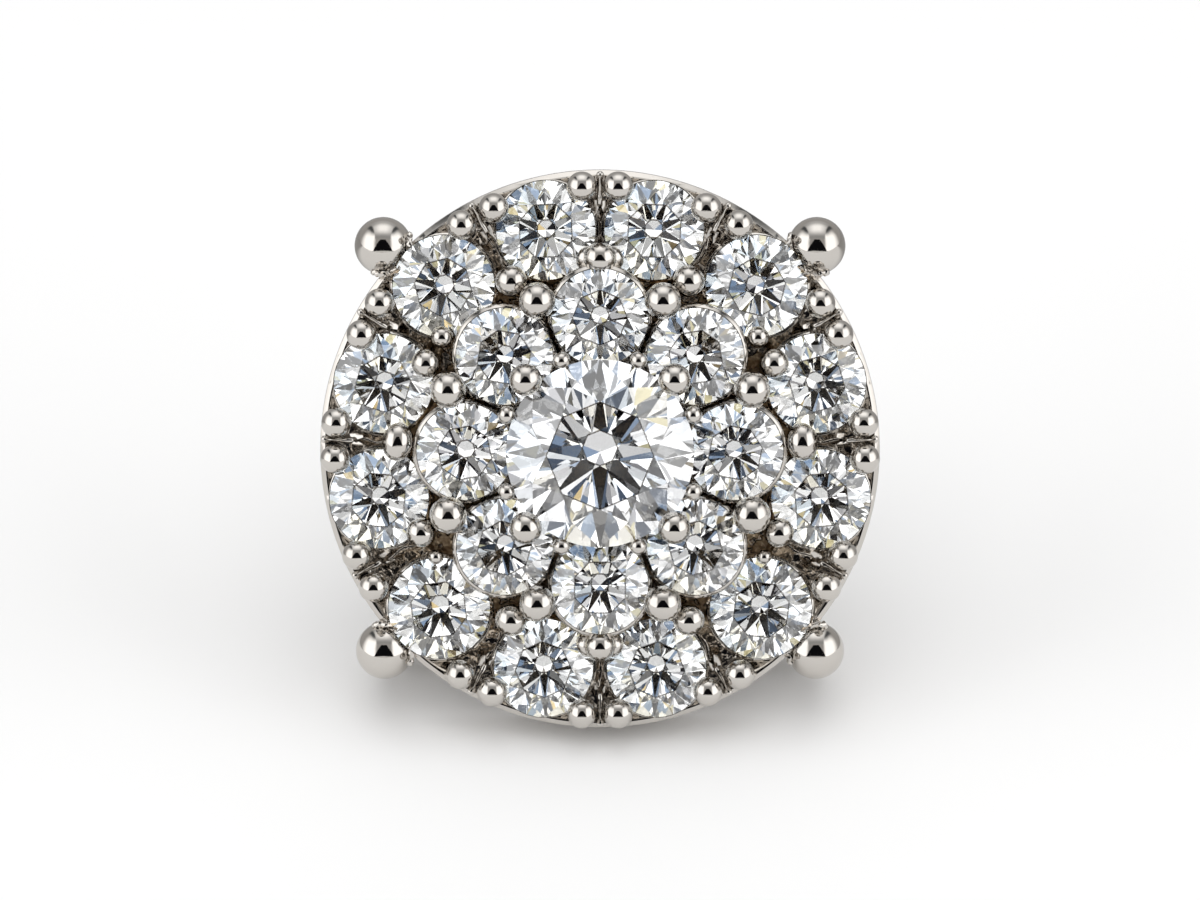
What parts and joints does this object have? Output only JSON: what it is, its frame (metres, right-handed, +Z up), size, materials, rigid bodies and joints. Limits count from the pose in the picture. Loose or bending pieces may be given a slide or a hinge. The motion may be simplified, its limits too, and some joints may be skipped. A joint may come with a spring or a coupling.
{
  "type": "cluster earring",
  "caption": "Stud earring with a stepped round cluster of faceted clear stones in a polished white-metal setting with beads, ball prongs, balled corner wires and an ear post.",
  "frame": {"origin": "centre of the footprint on the surface that the earring rests on, which it touches with the rear edge of its rim and the round tip of its post", "axes": "+Z up, +Y away from the face towards the tip of the post, +X to the right for someone who looks at the face; the face looks to -Y and leans back from upright by 25.1 degrees"},
  "size_m": [0.012, 0.0152, 0.0115],
  "materials": {
    "white_gold": "polished, slightly warm white gold",
    "centre_stone": "clear colourless stone, faceted and polished",
    "inner_stones": "clear colourless stone, faceted and polished",
    "outer_stones": "clear, nearly colourless stone, faceted and polished"
  },
  "bodies": {
    "root": {"setting": "white_gold", "centre_stone": "centre_stone", "inner_stone_1": "inner_stones", "inner_stone_2": "inner_stones", "inner_stone_3": "inner_stones", "inner_stone_4": "inner_stones", "inner_stone_5": "inner_stones", "inner_stone_6": "inner_stones", "inner_stone_7": "inner_stones", "inner_stone_8": "inner_stones", "outer_stone_1": "outer_stones", "outer_stone_2": "outer_stones", "outer_stone_3": "outer_stones", "outer_stone_4": "outer_stones", "outer_stone_5": "outer_stones", "outer_stone_6": "outer_stones", "outer_stone_7": "outer_stones", "outer_stone_8": "outer_stones", "outer_stone_9": "outer_stones", "outer_stone_10": "outer_stones", "outer_stone_11": "outer_stones", "outer_stone_12": "outer_stones"}
  },
  "joints": []
}
